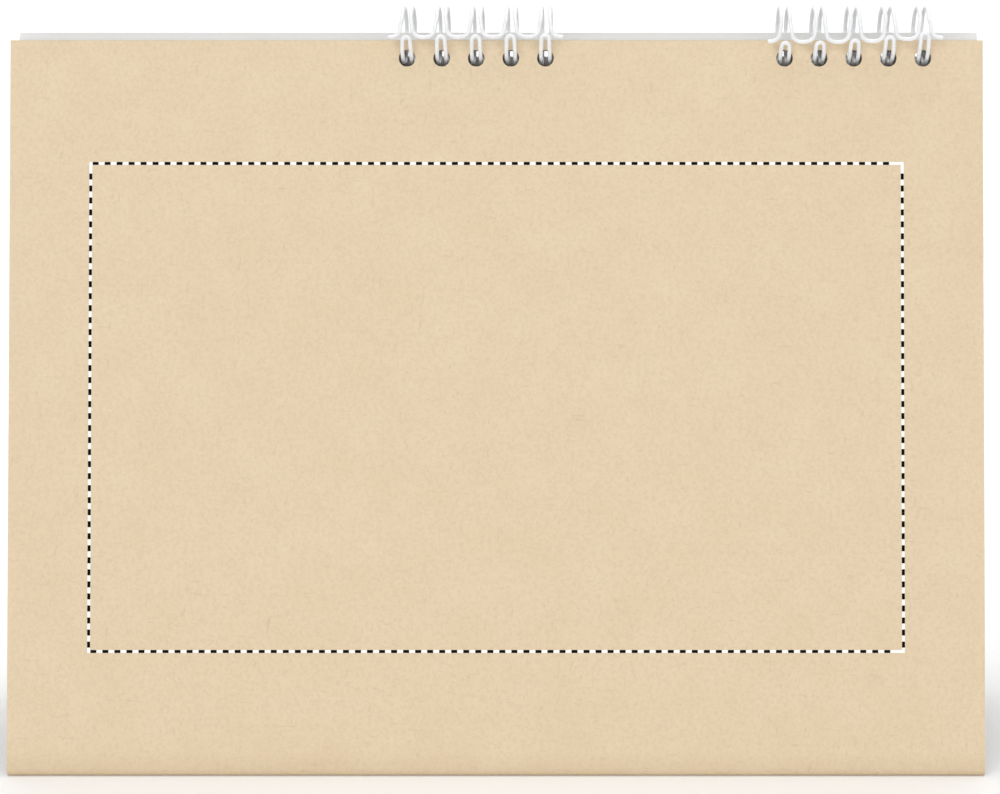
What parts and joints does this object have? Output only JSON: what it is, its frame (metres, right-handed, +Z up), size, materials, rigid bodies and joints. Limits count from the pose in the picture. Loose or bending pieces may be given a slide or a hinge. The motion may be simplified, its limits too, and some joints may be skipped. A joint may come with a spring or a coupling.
{
  "type": "flip desk calendar",
  "caption": "Tent-shaped flip desk calendar: two kraft boards on a creased folding base, twin-loop wire binding and turning leaves.",
  "frame": {"origin": "middle of the footprint, on the table", "axes": "+X to the right along the width, -Y towards the viewer of the plain kraft side, +Z up"},
  "size_m": [0.238, 0.076, 0.1846],
  "materials": {
    "greyboard": "matt",
    "kraft_front": "matt",
    "kraft_rear": "matt",
    "kraft_base": "matt",
    "lining": "matt",
    "leaf_paper": "satin",
    "wire": "gloss",
    "ink_white": "matt",
    "ink_black": "matt"
  },
  "bodies": {
    "front": {"front_core": "greyboard", "front_cover": "kraft_front", "front_lining": "lining", "front_crease": "kraft_front", "wire_left": "wire", "wire_right": "wire", "frame_line": "ink_white", "frame_dashes": "ink_black"},
    "rear": {"rear_core": "greyboard", "rear_cover": "kraft_rear", "rear_lining": "lining", "rear_crease": "kraft_rear"},
    "base_front": {"base_front_core": "greyboard", "base_front_cover": "kraft_base", "base_front_lining": "lining", "mid_crease": "kraft_base"},
    "base_rear": {"base_rear_core": "greyboard", "base_rear_cover": "kraft_base", "base_rear_lining": "lining"},
    "leaf_1": {"leaf_1": "leaf_paper"},
    "leaf_2": {"leaf_2": "leaf_paper"},
    "leaf_3": {"leaf_3": "leaf_paper"},
    "leaf_4": {"leaf_4": "leaf_paper"},
    "leaf_5": {"leaf_5": "leaf_paper"},
    "leaf_6": {"leaf_6": "leaf_paper"},
    "leaf_7": {"leaf_7": "leaf_paper", "month_grid": "ink_black"}
  },
  "joints": [
    {"name": "stand_fold", "type": "hinge", "parent": "front", "child": "rear", "pos_m": [0, 0, 0.17746], "axis": [1, 0, 0], "range_deg": [-20, 0]},
    {"name": "base_front_fold", "type": "hinge", "parent": "front", "child": "base_front", "pos_m": [0, -0.03603, 0.00154], "axis": [1, 0, 0], "range_deg": [0, 50], "deforming": ["mid_crease"]},
    {"name": "base_rear_fold", "type": "hinge", "parent": "rear", "child": "base_rear", "pos_m": [0, 0.03603, 0.00154], "axis": [1, 0, 0], "range_deg": [-50, 0]},
    {"name": "leaf_1_turn", "type": "hinge", "parent": "rear", "child": "leaf_1", "pos_m": [0, 0, 0.17746], "axis": [1, 0, 0], "range_deg": [0, 3]},
    {"name": "leaf_2_turn", "type": "hinge", "parent": "leaf_1", "child": "leaf_2", "pos_m": [0, 0, 0.17746], "axis": [1, 0, 0], "range_deg": [0, 3]},
    {"name": "leaf_3_turn", "type": "hinge", "parent": "leaf_2", "child": "leaf_3", "pos_m": [0, 0, 0.17746], "axis": [1, 0, 0], "range_deg": [0, 3]},
    {"name": "leaf_4_turn", "type": "hinge", "parent": "leaf_3", "child": "leaf_4", "pos_m": [0, 0, 0.17746], "axis": [1, 0, 0], "range_deg": [0, 3]},
    {"name": "leaf_5_turn", "type": "hinge", "parent": "leaf_4", "child": "leaf_5", "pos_m": [0, 0, 0.17746], "axis": [1, 0, 0], "range_deg": [0, 3]},
    {"name": "leaf_6_turn", "type": "hinge", "parent": "leaf_5", "child": "leaf_6", "pos_m": [0, 0, 0.17746], "axis": [1, 0, 0], "range_deg": [0, 3]},
    {"name": "leaf_7_turn", "type": "hinge", "parent": "leaf_6", "child": "leaf_7", "pos_m": [0, 0, 0.17746], "axis": [1, 0, 0], "range_deg": [0, 165]}
  ],
  "couplings": [
    {"joint": "base_front_fold", "follows": "stand_fold", "ratio": -2.5},
    {"joint": "base_rear_fold", "follows": "stand_fold", "ratio": 2.5}
  ]
}
